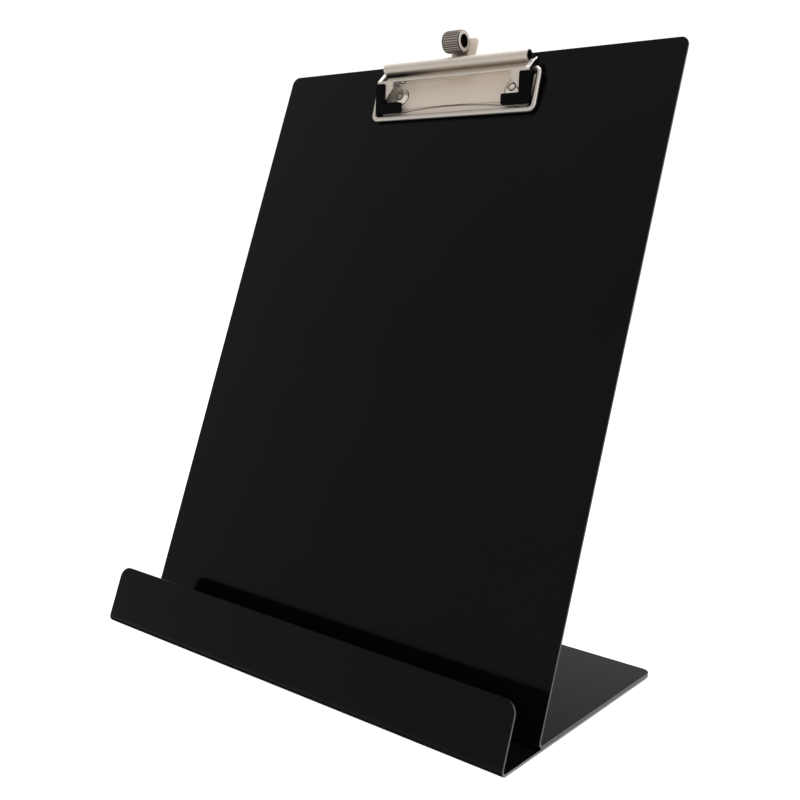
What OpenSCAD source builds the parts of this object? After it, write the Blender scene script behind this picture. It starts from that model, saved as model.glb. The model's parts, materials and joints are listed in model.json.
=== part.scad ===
// Clipboard stand: a bent sheet tray and a leaning board with a spring clip at its top edge.
// Millimetres. X runs across the stand, Y to the back, Z up.
// The origin is on the floor at the centre of the base.
// The clip is drawn in the board's own frame: X across, Y up along the board from its top edge,
// Z out from its front face. A drop is a distance down from the top edge, a rise a height over the face.

/* [Sheet] */
// Width of the stand
stand_w = 229; // [200:1:320]
// Thickness of the sheet of the tray and the board
sheet_t = 1.2; // [0.8:0.1:2]
// Inner radius of the bends in the sheet
bend_r = 1.6; // [1:0.1:4]
// Lean of the board and of the lip back from upright, in degrees
lean = 16; // [8:0.5:22]

/* [Tray] */
// Depth of the base from the front bend to the rear edge
base_depth = 141; // [130:1:200]
// Slant height of the front lip
lip_h = 28.5; // [18:0.5:45]
// Corner radius at the top of the lip
lip_corner_r = 5.5; // [3:0.5:12]
// Corner radius at the rear of the tray and of the board's foot
rear_corner_r = 4.5; // [3:0.5:15]
// Clear depth of the ledge between the lip and the board
ledge_gap = 26.5; // [15:0.5:40]

/* [Board] */
// Slant height of the board over its foot
board_h = 302; // [220:1:420]
// Corner radius at the top of the board
board_corner_r = 4; // [3:0.5:15]

/* [Tape and feet] */
// Thickness of the bonding tape
tape_t = 0.2; // [0.1:0.05:1]
// Width of a strip of bonding tape
tape_w = 25; // [10:1:35]
// Distance of the tape strips from the edges of the board's foot
tape_inset = 12; // [4:1:30]
// Diameter of a rubber foot
foot_d = 12; // [6:0.5:20]
// Height of a rubber foot
foot_h = 1.5; // [0.8:0.1:4]
// Distance of a foot's centre from the edges of the base
foot_inset = 16; // [12:0.5:30]

/* [Clip base] */
// Thickness of the clip base's web
web_t = 1; // [0.8:0.1:1.5]
// Thickness of an ear
ear_t = 0.9; // [0.6:0.1:1.2]
// Radius of the round head of an ear
ear_r = 2.3; // [2:0.1:2.6]
// Drop of the toe of an ear, where it runs out into the web
ear_toe_drop = 20; // [17:0.5:23]
// Drop of the heel of an ear
ear_heel_drop = 7.6; // [6:0.2:8.4]
// Width of the clip base above its ears
neck_w = 70; // [60:0.5:76]
// Drop of the shoulders, where the clip base widens to its ears
neck_drop = 7; // [6:0.1:7.4]
// Drop of the top edge of the clip base
web_top_drop = 1.5; // [0.5:0.1:3]
// Drop of the lower edge of the clip base
web_low_drop = 28; // [26:0.1:28.4]
// Drop of the arched step in the web, at its middle
step_drop = 24.4; // [23:0.1:25]
// Height of the arch of that step
step_arch = 1.3; // [0.8:0.1:1.6]
// Thickness of the web below the step
step_t = 0.5; // [0.3:0.05:0.7]
// Corner radius of the web's lower corners
web_corner_r = 2; // [1:0.5:4]

/* [Rivets] */
// Distance between the two clip rivets
rivet_gap = 66; // [60:0.5:73]
// Drop of the clip rivets
rivet_drop = 18.4; // [17.2:0.2:18.8]
// Diameter of a clip rivet's head
rivet_head_d = 9.4; // [7:0.1:9.8]
// Height of a clip rivet's head
rivet_head_h = 1.5; // [1:0.1:2]
// Diameter of a clip rivet's shank
rivet_d = 4; // [3:0.1:5]
// Diameter of the dimple in a clip rivet's head
dimple_d = 4.6; // [3:0.1:5.4]
// Depth of the dimple in a clip rivet's head
dimple_h = 0.5; // [0.2:0.1:0.8]
// Diameter of a washer behind the board
washer_d = 9; // [7:0.5:12]
// Thickness of a washer
washer_t = 0.8; // [0.5:0.1:1.5]
// Diameter of a clip rivet's formed tail
tail_d = 6.6; // [5:0.1:8]
// Diameter of the end of that tail
tail_end_d = 4.6; // [4.2:0.1:5]
// Height of a clip rivet's formed tail
tail_h = 1; // [0.6:0.1:1.6]

/* [Hinge and bow] */
// Drop of the hinge axis
hinge_drop = 10.8; // [10.2:0.1:11.4]
// Rise of the hinge axis
hinge_rise = 3.6; // [3.4:0.1:3.9]
// Diameter of the bow wire
wire_d = 2.6; // [2:0.1:2.7]
// Width over the bow
bow_w = 96; // [90:0.1:100]
// Drop of the centre of the bow's lower bar
bow_drop = 30.2; // [29.8:0.1:34]
// Gap between the closed bow and the board
bow_gap = 0.4; // [0.3:0.05:1]
// Radius of the bow's bends, on the wire's centre
bow_bend_r = 2.3; // [2:0.1:3]
// Distance between the inner ends of the bow wire
bow_end_gap = 62; // [50:1:66]

/* [Lever] */
// Thickness of the lever's sheet
lever_t = 0.9; // [0.7:0.05:1]
// Drop of the crest between the plate and the legs
crest_drop = 13; // [12.8:0.1:13.6]
// Rise of the crest
crest_rise = 8.3; // [8.2:0.1:9]
// Slope of the plate to the board, in degrees
plate_angle = 28; // [25:0.5:30]
// Length of the plate from the crest to the barrel
plate_len = 7; // [6.5:0.1:7.4]
// Outer radius of the barrel
barrel_r = 2.8; // [2.4:0.1:3]
// Slope of the legs to the board, in degrees
leg_angle = 20.4; // [19:0.2:21]
// Length of the legs from the crest
leg_len = 15.2; // [14:0.1:15.4]
// Width of a leg
leg_w = 4.4; // [3.5:0.1:5.4]
// Width of a leg at the crest
leg_top_w = 9.8; // [7:0.1:12]
// Length of a leg's wide top
leg_top_l = 3.4; // [2:0.1:5]
// Length over which a leg narrows under its wide top
leg_taper_l = 6.2; // [4:0.1:7]
// Length of a leg's foot
leg_foot_l = 14; // [10:0.1:20]
// Height of a leg's foot
leg_foot_h = 4; // [3:0.1:6]
// Drop of the arms' upper ends
arm_top_drop = 5; // [4:0.1:6]
// Depth of the arms below the plate and the legs
arm_depth = 1.4; // [1:0.1:1.6]
// Radius of the round boss of an arm, at the hinge
boss_r = 2.4; // [2.2:0.1:2.6]

/* [Corner guards] */
// Wall of a guard over and under the leg
guard_wall = 0.7; // [0.5:0.05:0.8]
// Wall of a guard over the sides and the end of the leg
guard_side = 0.6; // [0.4:0.05:0.65]
// Corner radius of a guard
guard_corner_r = 0.8; // [0.4:0.1:1.4]
// Gap between the crest and the top of a guard
guard_top_gap = 1; // [0.6:0.1:2]

/* [Pen loop] */
// Outer diameter of the pen loop
loop_od = 10.8; // [9:0.1:13]
// Bore of the pen loop
loop_bore = 6.5; // [5:0.1:7.6]
// Length of the pen loop
loop_l = 10; // [7:0.5:12]
// Distance of the pen loop from the middle of the board, to the left
loop_shift = 2.3; // [0:0.1:3]
// Height of the loop's axis over the board's top edge
loop_lift = 5.8; // [4:0.1:8]
// Number of ribs round the loop
loop_ribs = 28; // [16:1:40]
// Depth of the ribs
rib_h = 0.35; // [0.2:0.05:0.6]
// Depth of the ribs' roots under the loop's core
rib_root = 0.05; // [0.02:0.01:0.1]
// Length of the plain collar at each end of the loop
collar_l = 0.8; // [0.4:0.1:1.5]
// Thickness of the loop's strip
strip_t = 0.6; // [0.4:0.05:0.7]
// Width of the loop's strip
strip_w = 6.2; // [4:0.1:8]
// Length of the bridge over the tab
bridge_l = 6; // [5:0.1:6.6]
// Drop of the bridge's lower edge
bridge_low_drop = 9.4; // [8.6:0.1:9.6]
// Width of a side wall of the bridge
bridge_wall = 0.9; // [0.6:0.1:1.2]

/* [Hanger tab] */
// Width of the tab
tab_w = 14.4; // [13:0.2:16]
// Corner radius at the tab's top
tab_corner_r = 2.8; // [1:0.1:6.4]
// Thickness of the tab
tab_t = 0.8; // [0.6:0.05:0.9]
// Height of the tab over the board's top edge, pulled out
tab_lift = 10.5; // [9:0.1:14]
// Travel of the tab
tab_travel = 8; // [4:0.5:8]
// Diameter of the hanging hole
hang_hole_d = 4.2; // [3:0.1:4.6]
// Distance of the hanging hole from the tab's top
hang_hole_drop = 3.7; // [3.2:0.1:4]
// Diameter of the slide rivet
slide_rivet_d = 3; // [2:0.1:3.2]
// Diameter of the slide rivet's head
slide_head_d = 5.6; // [4.4:0.1:6.5]
// Height of the slide rivet's head
slide_head_h = 0.4; // [0.3:0.05:0.5]
// Length of solid tab under the slot
tab_tail = 1.6; // [1:0.1:2]

/* [Springs] */
// Diameter of the spring wire
spring_wire_d = 0.6; // [0.4:0.05:0.6]
// Whole turns of a spring, before the half turn that parts its ends
spring_turns = 6; // [4:1:6]
// Step from turn to turn
spring_pitch = 1.15; // [1.05:0.05:1.25]
// Length of a spring's straight ends
spring_leg = 5; // [3:0.5:5.5]

/* [Clearances] */
// Radial clearance of the bow wire in the ears
run_clear = 0.05; // [0.02:0.01:0.08]
// Radial clearance of a fixed pin or rivet in its hole
hold_clear = 0.03; // [0.01:0.01:0.06]
// Clearance of the sliding tab on every side
slide_clear = 0.05; // [0.03:0.01:0.15]
// Clearance between the lever's arms and the bow's bends
bend_clear = 0.05; // [0.02:0.01:0.2]
// Clearance between the ears and the lever's arms
ear_clear = 0.3; // [0.2:0.05:0.6]
// Clearance between the barrel's ends and the ears
barrel_clear = 0.4; // [0.3:0.05:1]
// Clearance between the spring and what it is wound round
coil_clear = 0.4; // [0.35:0.05:0.45]
// Clearance between a guard and the sheet inside it
guard_clear = 0.02; // [0.01:0.01:0.05]
// End play of the slide rivet in its slot
slot_play = 0.3; // [0.2:0.05:0.6]

/* [Hidden] */
$fn = 64;
// How finely curves are drawn, and how far a cutting shape overshoots
arch_sides = 1440;
dome_sides = 180;
side_rings = 8;
tube_sides = 6;
cut = 1;
// How far the round corners of the sheets reach past their edges, so that arc and edge cross
corner_bite = 0.02;

sheet_black = [0.09, 0.09, 0.1];
nickel = [0.74, 0.71, 0.66];
guard_black = [0.05, 0.06, 0.07];

// Where the sheets lie
tray_z = foot_h;
board_z = foot_h + sheet_t + tape_t;
bend_out = bend_r + sheet_t;
bend_reach = bend_out * (1 + sin(lean)) / cos(lean);
tray_front = -base_depth / 2;
rear_edge = base_depth / 2;
tray_bend_y = tray_front + bend_out;
lip_meet_y = tray_bend_y - bend_reach;
board_meet_y = lip_meet_y + sheet_t / cos(lean) + ledge_gap + (board_z - tray_z) * tan(lean);
board_bend_y = board_meet_y + bend_reach;

// Where the clip's pieces lie, in the board's frame
bow_x = bow_w / 2 - wire_d / 2;
arm_out = bow_x - bow_bend_r - bend_clear;
arm_span = 2 * arm_out;
ear_span = arm_span - 2 * (lever_t + ear_clear);
ear_in = ear_span / 2 - ear_t;
barrel_half = ear_in - barrel_clear;
barrel_in = barrel_r - lever_t;
bow_rise = wire_d / 2 + bow_gap;
bow_run = bow_drop - hinge_drop;
bow_fall = hinge_rise - bow_rise;
bow_len = sqrt(bow_run * bow_run + bow_fall * bow_fall);
bow_angle = atan2(bow_fall, bow_run);
guard_out = arm_out + guard_side;
guard_half_t = lever_t / 2 + guard_wall;
guard_low = leg_len + guard_side;
tab_low_z = web_t + slide_clear;
strip_z = tab_low_z + tab_t + slide_clear;
loop_rise = strip_z + loop_od / 2;
bridge_w = tab_w + 2 * slide_clear + 2 * bridge_wall;
bridge_top = bridge_l - bridge_low_drop;
slide_rivet_drop = bridge_low_drop - bridge_l / 2;
slot_w = slide_rivet_d + 2 * slide_clear;
slot_low = -slide_rivet_drop - slide_rivet_d / 2 - slot_play;
slot_high = -slide_rivet_drop + slide_rivet_d / 2 + slot_play + tab_travel;
tab_low = slot_low - tab_tail;
coil_r = wire_d / 2 + coil_clear + spring_wire_d / 2;
coil_l = (spring_turns + 0.5) * spring_pitch;
coil_x = ear_in - coil_clear - spring_wire_d / 2;

// The curve that a spring's wire follows, with its legs
coil_steps = ceil((spring_turns * 360 + 180 + plate_angle) / 360 * side_rings);
coil_sweep = spring_turns * 360 + 180 + plate_angle;
function coil_angle(i) = 270 - coil_sweep * i / coil_steps;
function coil_point(i) = [coil_x - coil_l * i / coil_steps,
    -hinge_drop + coil_r * cos(coil_angle(i)), hinge_rise + coil_r * sin(coil_angle(i))];
low_leg_end = coil_point(0) + [0, spring_leg, 0];
high_leg_end = coil_point(coil_steps) + spring_leg * [0, cos(plate_angle), -sin(plate_angle)];
spring_path = concat([low_leg_end], [for (i = [0 : coil_steps]) coil_point(i)], [high_leg_end]);
spring_gap = min([for (i = [0 : len(spring_path) - 1], j = [0 : len(spring_path) - 1])
    if (j - i >= side_rings - 2) norm(spring_path[i] - spring_path[j])]) - spring_wire_d;
echo(least_gap_in_a_spring = spring_gap);

function unit(v) = v / norm(v);
function along(path, i) = unit(path[min(i + 1, len(path) - 1)] - path[max(i - 1, 0)]);
function ring(path, i, r) = let (t = along(path, i), u = unit([1, 0, 0] - t[0] * t), w = cross(t, u))
    [for (k = [0 : tube_sides - 1])
        path[i] + r * (cos(360 * k / tube_sides) * u + sin(360 * k / tube_sides) * w)];

// A round wire along a path whose points never run along X
module wire_tube(path, r) {
    n = len(path);
    m = tube_sides;
    points = [for (i = [0 : n - 1]) each ring(path, i, r)];
    walls = [for (i = [0 : n - 2], k = [0 : m - 1]) each [
        [i * m + k, (i + 1) * m + (k + 1) % m, i * m + (k + 1) % m],
        [i * m + k, (i + 1) * m + k, (i + 1) * m + (k + 1) % m]]];
    start = [for (k = [1 : m - 2]) [0, k, k + 1]];
    end = [for (k = [1 : m - 2]) [(n - 1) * m, (n - 1) * m + k + 1, (n - 1) * m + k]];
    polyhedron(points = points, faces = concat(walls, start, end), convexity = 10);
}

// A flat blank of a width and length, from Y = 0 up, with round corners at its far end
module blank(w, l, r) {
    translate([-w / 2, 0])
        square([w, l - r]);
    translate([-w / 2 + r, 0])
        square([w - 2 * r, l]);
    for (x = [-1, 1])
        translate([x * (w / 2 - r), l - r])
            circle(r);
}

// A rectangle with four round corners
module round_rect(x0, y0, x1, y1, r) {
    translate([x0 + r, y0])
        square([x1 - x0 - 2 * r, y1 - y0]);
    translate([x0, y0 + r])
        square([x1 - x0, y1 - y0 - 2 * r]);
    for (x = [x0 + r, x1 - r], y = [y0 + r, y1 - r])
        translate([x, y])
            circle(r);
}

// What is cut off the far corners of such a blank to round them
module corner_cuts(w, l, r) {
    for (x = [-1, 1])
        translate([x * (w / 2 - r + corner_bite), l - r + corner_bite])
            rotate([0, 0, x > 0 ? 0 : 90])
                difference() {
                    square(r + cut);
                    circle(r);
                }
}

// A sheet that lies on the floor and is bent up along its front into a leaning wall.
// It is drawn wider than the stand and trimmed, so that its bend and flats end in one plane.
module bent_sheet(bend_y, low_z, wall_h, wall_corner_r) {
    wide = stand_w + 2 * cut;
    reach = base_depth + board_h;
    floor_l = rear_edge - bend_y;
    wall_l = wall_h - bend_reach;
    difference() {
        intersection() {
            translate([0, bend_y, low_z]) {
                translate([-wide / 2, 0, 0])
                    cube([wide, floor_l, sheet_t]);
                translate([-wide / 2, 0, bend_out])
                    rotate([0, 90, 0])
                        rotate_extrude(angle = 90 + lean, start = -90 - lean)
                            translate([bend_r, 0])
                                square([sheet_t, wide]);
                translate([0, 0, bend_out])
                    rotate([90 - lean, 0, 0])
                        translate([-wide / 2, 0, bend_r])
                            cube([wide, wall_l, sheet_t]);
            }
            translate([-stand_w / 2, -reach, 0])
                cube([stand_w, 2 * reach, reach]);
        }
        translate([0, bend_y, low_z - cut])
            linear_extrude(sheet_t + 2 * cut)
                corner_cuts(stand_w, floor_l, rear_corner_r);
        translate([0, bend_y, low_z + bend_out])
            rotate([90 - lean, 0, 0])
                translate([0, 0, bend_r - cut])
                    linear_extrude(sheet_t + 2 * cut)
                        corner_cuts(stand_w, wall_l, wall_corner_r);
    }
}

// Puts what is drawn in the board's frame in its place, from the board's own bend
module on_board() {
    translate([0, board_bend_y, board_z + bend_out])
        rotate([90 - lean, 0, 0])
            translate([0, board_h - bend_reach, bend_out])
                children();
}

// Puts what is drawn along X at the hinge axis
module at_hinge() {
    translate([0, -hinge_drop, hinge_rise])
        children();
}

// Puts what is drawn on the lever's plate, with Y from the crest to the barrel
module on_plate() {
    translate([0, -crest_drop, crest_rise])
        rotate([-plate_angle, 0, 0])
            children();
}

// Puts what is drawn on the lever's legs, with Y from the toes to the crest
module on_legs() {
    translate([0, -crest_drop, crest_rise])
        rotate([leg_angle, 0, 0])
            children();
}

// A rod along X between two places
module rod(x0, x1, r) {
    translate([x0, 0, 0])
        rotate([0, 90, 0])
            cylinder(h = x1 - x0, r = r);
}

module base_tray() {
    color(sheet_black)
        bent_sheet(tray_bend_y, tray_z, lip_h, lip_corner_r);
}

module back_board() {
    color(sheet_black)
        difference() {
            bent_sheet(board_bend_y, board_z, board_h, board_corner_r);
            on_board()
                for (x = [-1, 1])
                    translate([x * rivet_gap / 2, -rivet_drop, -sheet_t - cut])
                        cylinder(h = sheet_t + 2 * cut, r = rivet_d / 2 + hold_clear);
        }
}

module bond_tape(y) {
    color("gainsboro")
        translate([-stand_w / 2 + tape_inset, y, tray_z + sheet_t])
            cube([stand_w - 2 * tape_inset, tape_w, tape_t]);
}

module rubber_foot(x, y) {
    color("dimgray")
        translate([x * (stand_w / 2 - foot_inset), y * (base_depth / 2 - foot_inset), 0])
            cylinder(h = foot_h, d = foot_d);
}

// The flat web of the clip base, thinner below an arched step
module clip_web() {
    half = ear_span / 2;
    arch_r = (half * half + step_arch * step_arch) / (2 * step_arch);
    difference() {
        linear_extrude(web_t)
            rotate([0, 0, 180]) {
                translate([0, neck_drop])
                    blank(ear_span, web_low_drop - neck_drop, web_corner_r);
                translate([-neck_w / 2, web_top_drop])
                    square([neck_w, neck_drop - web_top_drop + cut]);
            }
        translate([0, -step_drop - arch_r, step_t])
            cylinder(h = web_t, r = arch_r, $fn = arch_sides);
    }
}

// The outline of an ear, from its toe to its heel
module ear_outline() {
    polygon([[-ear_toe_drop, web_t / 2], [-hinge_drop - ear_r, hinge_rise],
        [-hinge_drop + ear_r, hinge_rise], [-ear_heel_drop, web_t / 2]]);
    translate([-hinge_drop, hinge_rise])
        circle(ear_r);
}

module clip_base() {
    color(nickel)
        on_board()
            difference() {
                union() {
                    clip_web();
                    for (x = [-ear_span / 2, ear_in])
                        translate([x, 0, 0])
                            rotate([90, 0, 90])
                                linear_extrude(ear_t)
                                    ear_outline();
                }
                at_hinge()
                    rod(-stand_w / 2, stand_w / 2, wire_d / 2 + run_clear);
                for (x = [-1, 1])
                    translate([x * rivet_gap / 2, -rivet_drop, -cut])
                        cylinder(h = web_t + 2 * cut, r = rivet_d / 2 + hold_clear);
                translate([0, -slide_rivet_drop, -cut])
                    cylinder(h = web_t + 2 * cut, r = slide_rivet_d / 2 + hold_clear);
            }
}

// A rivet with a low domed head, dimpled in the middle, and a formed tail behind the washer
module clip_rivet(x) {
    dome_r = (rivet_head_d * rivet_head_d / 4 + rivet_head_h * rivet_head_h) / (2 * rivet_head_h);
    dimple_r = (dimple_d * dimple_d / 4 + dimple_h * dimple_h) / (2 * dimple_h);
    tail_z = -sheet_t - washer_t - tail_h;
    color(nickel)
        on_board()
            translate([x * rivet_gap / 2, -rivet_drop, 0]) {
                difference() {
                    intersection() {
                        translate([0, 0, web_t + rivet_head_h - dome_r])
                            sphere(dome_r, $fn = dome_sides);
                        translate([0, 0, web_t])
                            cylinder(h = rivet_head_h, d = rivet_head_d);
                    }
                    translate([0, 0, web_t + rivet_head_h - dimple_h + dimple_r])
                        sphere(dimple_r, $fn = dome_sides);
                }
                translate([0, 0, tail_z])
                    cylinder(h = web_t - tail_z, d = rivet_d);
                translate([0, 0, tail_z])
                    cylinder(h = tail_h, d1 = tail_end_d, d2 = tail_d);
            }
}

module rivet_washer(x) {
    color("silver")
        on_board()
            translate([x * rivet_gap / 2, -rivet_drop, -sheet_t - washer_t])
                difference() {
                    cylinder(h = washer_t, d = washer_d);
                    translate([0, 0, -cut])
                        cylinder(h = washer_t + 2 * cut, r = rivet_d / 2 + hold_clear);
                }
}

// A torsion spring round one end of the bow wire, with one leg on the web and one under the lever's plate
module spring(side) {
    color("lightgray")
        on_board()
            if (side > 0)
                wire_tube(spring_path, spring_wire_d / 2);
            else
                mirror([1, 0, 0])
                    wire_tube(spring_path, spring_wire_d / 2);
}

// The ribbed outline of the pen loop
module loop_outline() {
    polygon([for (k = [0 : loop_ribs - 1], half = [0, 1])
        let (a = 360 * (k + half / 2) / loop_ribs, r = loop_od / 2 - half * (rib_h + rib_root))
            [r * cos(a), r * sin(a)]]);
}

module pen_loop() {
    color(nickel)
        on_board()
            difference() {
                union() {
                    translate([-loop_shift - loop_l / 2, loop_lift, loop_rise])
                        rotate([0, 90, 0]) {
                            translate([0, 0, collar_l])
                                linear_extrude(loop_l - 2 * collar_l)
                                    loop_outline();
                            cylinder(h = loop_l, r = loop_od / 2 - rib_h);
                        }
                    translate([loop_l / 2 - loop_shift - strip_w, bridge_top, strip_z])
                        cube([strip_w, loop_lift - bridge_top, strip_t]);
                    translate([-bridge_w / 2, -bridge_low_drop, strip_z])
                        cube([bridge_w, bridge_l, strip_t]);
                    for (x = [-bridge_w / 2, bridge_w / 2 - bridge_wall])
                        translate([x, -bridge_low_drop, web_t])
                            cube([bridge_wall, bridge_l, strip_z - web_t]);
                }
                translate([0, loop_lift, loop_rise])
                    rod(-stand_w / 2, stand_w / 2, loop_bore / 2);
                translate([0, -slide_rivet_drop, strip_z - cut])
                    cylinder(h = strip_t + 2 * cut, r = slide_rivet_d / 2 + hold_clear);
            }
}

module slide_rivet() {
    head_r = (slide_head_d * slide_head_d / 4 + slide_head_h * slide_head_h) / (2 * slide_head_h);
    color(nickel)
        on_board()
            translate([0, -slide_rivet_drop, 0]) {
                cylinder(h = strip_z + strip_t, d = slide_rivet_d);
                intersection() {
                    translate([0, 0, strip_z + strip_t + slide_head_h - head_r])
                        sphere(head_r, $fn = dome_sides);
                    translate([0, 0, strip_z + strip_t])
                        cylinder(h = slide_head_h, d = slide_head_d);
                }
            }
}

module hanger_tab() {
    color(nickel)
        on_board()
            translate([0, 0, tab_low_z])
                difference() {
                    linear_extrude(tab_t)
                        translate([0, tab_low])
                            blank(tab_w, tab_lift - tab_low, tab_corner_r);
                    translate([0, tab_lift - hang_hole_drop, -cut])
                        cylinder(h = tab_t + 2 * cut, d = hang_hole_d);
                    translate([-slot_w / 2, slot_low + slot_w / 2, -cut])
                        cube([slot_w, slot_high - slot_low - slot_w, tab_t + 2 * cut]);
                    for (y = [slot_low + slot_w / 2, slot_high - slot_w / 2])
                        translate([0, y, -cut])
                            cylinder(h = tab_t + 2 * cut, d = slot_w);
                }
}

// The L of a leg and its foot on the right side, grown by a margin
module leg_shape(grow) {
    translate([arm_out - leg_w - grow, -leg_len - grow, -lever_t / 2 - grow])
        cube([leg_w + 2 * grow, leg_len + grow, lever_t + 2 * grow]);
    translate([arm_out - leg_foot_l - grow, -leg_len - grow, -lever_t / 2 - grow])
        cube([leg_foot_l + 2 * grow, leg_foot_h + 2 * grow, lever_t + 2 * grow]);
}

// The wide top of a leg on the right, grown by a margin, which narrows round the rivet
module leg_top(grow) {
    wide = arm_out - leg_top_w - grow;
    narrow = arm_out - leg_w;
    low = -leg_top_l - leg_taper_l - grow;
    translate([0, 0, -lever_t / 2 - grow])
        linear_extrude(lever_t + 2 * grow)
            polygon([[wide, grow], [narrow + cut, grow], [narrow + cut, low], [narrow - grow, low],
                [wide, -leg_top_l - grow]]);
}

// The side wall of the lever on the right, grown by a margin
module arm(grow) {
    plate_rise = crest_rise - (crest_drop - arm_top_drop) * tan(plate_angle);
    toe_y = -crest_drop - leg_len * cos(leg_angle);
    toe_z = crest_rise - leg_len * sin(leg_angle);
    translate([arm_out - lever_t - grow, 0, 0])
        rotate([90, 0, 90])
            linear_extrude(lever_t + 2 * grow) {
                polygon([[-arm_top_drop, plate_rise], [-crest_drop, crest_rise], [toe_y, toe_z],
                    [toe_y + arm_depth * sin(leg_angle), toe_z - arm_depth * cos(leg_angle)],
                    [-hinge_drop - boss_r, hinge_rise], [-hinge_drop, hinge_rise - boss_r / 2],
                    [-hinge_drop + boss_r, hinge_rise - boss_r / 2],
                    [-arm_top_drop, plate_rise - arm_depth]]);
                translate([-hinge_drop, hinge_rise])
                    circle(boss_r + grow);
            }
}

module clip_lever() {
    color(nickel)
        on_board()
            difference() {
                union() {
                    on_plate() {
                        translate([-arm_out, 0, -lever_t / 2])
                            cube([arm_span, plate_len, lever_t]);
                        translate([0, plate_len, barrel_r - lever_t / 2])
                            rod(-barrel_half, barrel_half, barrel_r);
                        rod(-arm_out, arm_out, lever_t / 2);
                    }
                    for (x = [0, 1])
                        mirror([x, 0, 0]) {
                            on_legs() {
                                leg_shape(0);
                                leg_top(0);
                            }
                            arm(0);
                        }
                }
                on_plate() {
                    translate([0, plate_len, barrel_r - lever_t / 2])
                        rod(-barrel_half - cut, barrel_half + cut, barrel_in);
                }
                at_hinge()
                    rod(-stand_w / 2, stand_w / 2, wire_d / 2 + hold_clear);
            }
}

// Half of the bow wire, from the middle of the lower bar to the inner end, in the bow's plane
module half_bow() {
    r = wire_d / 2;
    translate([0, -bow_len, 0])
        rod(0, bow_x - bow_bend_r, r);
    rod(bow_end_gap / 2, bow_x - bow_bend_r, r);
    translate([bow_x, -bow_bend_r, 0])
        rotate([90, 0, 0])
            cylinder(h = bow_len - 2 * bow_bend_r, r = r);
    translate([bow_x - bow_bend_r, -bow_len + bow_bend_r, 0])
        rotate([0, 0, -90])
            rotate_extrude(angle = 90)
                translate([bow_bend_r, 0])
                    circle(r);
    translate([bow_x - bow_bend_r, -bow_bend_r, 0])
        rotate_extrude(angle = 90)
            translate([bow_bend_r, 0])
                circle(r);
}

module bow_wire() {
    color("silver")
        on_board()
            at_hinge()
                rotate([bow_angle, 0, 0])
                    for (x = [0, 1])
                        mirror([x, 0, 0])
                            half_bow();
}

// The guard on the right corner, in the frame of the legs
module guard_shape() {
    inner = arm_out - leg_w - guard_side;
    foot_in = arm_out - leg_foot_l - guard_side;
    foot_top = -leg_len + leg_foot_h + guard_side;
    translate([0, 0, -guard_half_t])
        linear_extrude(2 * guard_half_t) {
            round_rect(inner, -guard_low, guard_out, -guard_top_gap, guard_corner_r);
            round_rect(foot_in, -guard_low, guard_out, foot_top, guard_corner_r);
        }
}

module corner_guard(side) {
    color(guard_black)
        on_board()
            mirror([side > 0 ? 0 : 1, 0, 0])
                difference() {
                    on_legs()
                        guard_shape();
                    on_legs() {
                        leg_shape(guard_clear);
                        leg_top(guard_clear);
                    }
                    arm(guard_clear);
                }
}

base_tray();
back_board();
bond_tape(board_bend_y + tape_inset);  // bond_tape_front
bond_tape(rear_edge - tape_inset - tape_w);  // bond_tape_rear
rubber_foot(-1, -1);  // rubber_foot_front_left
rubber_foot(1, -1);  // rubber_foot_front_right
rubber_foot(-1, 1);  // rubber_foot_rear_left
rubber_foot(1, 1);  // rubber_foot_rear_right
clip_base();
clip_rivet(-1);  // clip_rivet_left
clip_rivet(1);  // clip_rivet_right
rivet_washer(-1);  // rivet_washer_left
rivet_washer(1);  // rivet_washer_right
spring(-1);  // spring_left
spring(1);  // spring_right
pen_loop();
slide_rivet();
hanger_tab();
clip_lever();
bow_wire();
corner_guard(-1);  // corner_guard_left
corner_guard(1);  // corner_guard_right
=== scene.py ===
import json
import math

import bmesh
import bpy
from mathutils import Matrix, Vector


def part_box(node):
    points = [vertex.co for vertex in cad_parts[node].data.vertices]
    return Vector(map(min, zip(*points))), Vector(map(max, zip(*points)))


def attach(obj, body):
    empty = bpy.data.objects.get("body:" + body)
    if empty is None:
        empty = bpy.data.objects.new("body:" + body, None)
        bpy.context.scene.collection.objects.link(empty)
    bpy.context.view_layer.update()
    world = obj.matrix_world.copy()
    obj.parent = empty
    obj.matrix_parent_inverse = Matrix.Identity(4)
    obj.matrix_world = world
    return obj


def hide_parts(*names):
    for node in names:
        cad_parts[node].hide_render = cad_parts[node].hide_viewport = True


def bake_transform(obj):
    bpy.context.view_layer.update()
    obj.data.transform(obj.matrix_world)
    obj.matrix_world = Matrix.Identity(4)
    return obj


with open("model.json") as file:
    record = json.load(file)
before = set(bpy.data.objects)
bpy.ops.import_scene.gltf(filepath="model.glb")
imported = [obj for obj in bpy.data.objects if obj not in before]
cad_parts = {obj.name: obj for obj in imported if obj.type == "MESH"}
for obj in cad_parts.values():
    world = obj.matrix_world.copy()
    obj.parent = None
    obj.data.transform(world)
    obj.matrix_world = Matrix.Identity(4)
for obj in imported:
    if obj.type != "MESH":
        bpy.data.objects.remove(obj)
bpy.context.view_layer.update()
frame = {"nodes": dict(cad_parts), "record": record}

mm = 0.001
mergeGap = 0.001 * mm  # points nearer than this become one
onLine = 0.01 * mm  # a point this near to a line lies on it
smoothing = {"plate": 35, "turned": 32, "wire": 40, "foot": 35}  # degrees
scene = bpy.context.scene
print("clipboard stand: frame loaded with", len(frame["nodes"]), "nodes")


# working helpers

def clearSelection():
    bpy.ops.object.select_all(action="DESELECT")


def makeActive(piece):
    clearSelection()
    piece.select_set(True)
    bpy.context.view_layer.objects.active = piece


def startEdit(piece):
    makeActive(piece)
    bpy.ops.object.mode_set(mode="EDIT")
    bpy.ops.mesh.select_all(action="DESELECT")


def stopEdit():
    bpy.ops.object.mode_set(mode="OBJECT")


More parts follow.
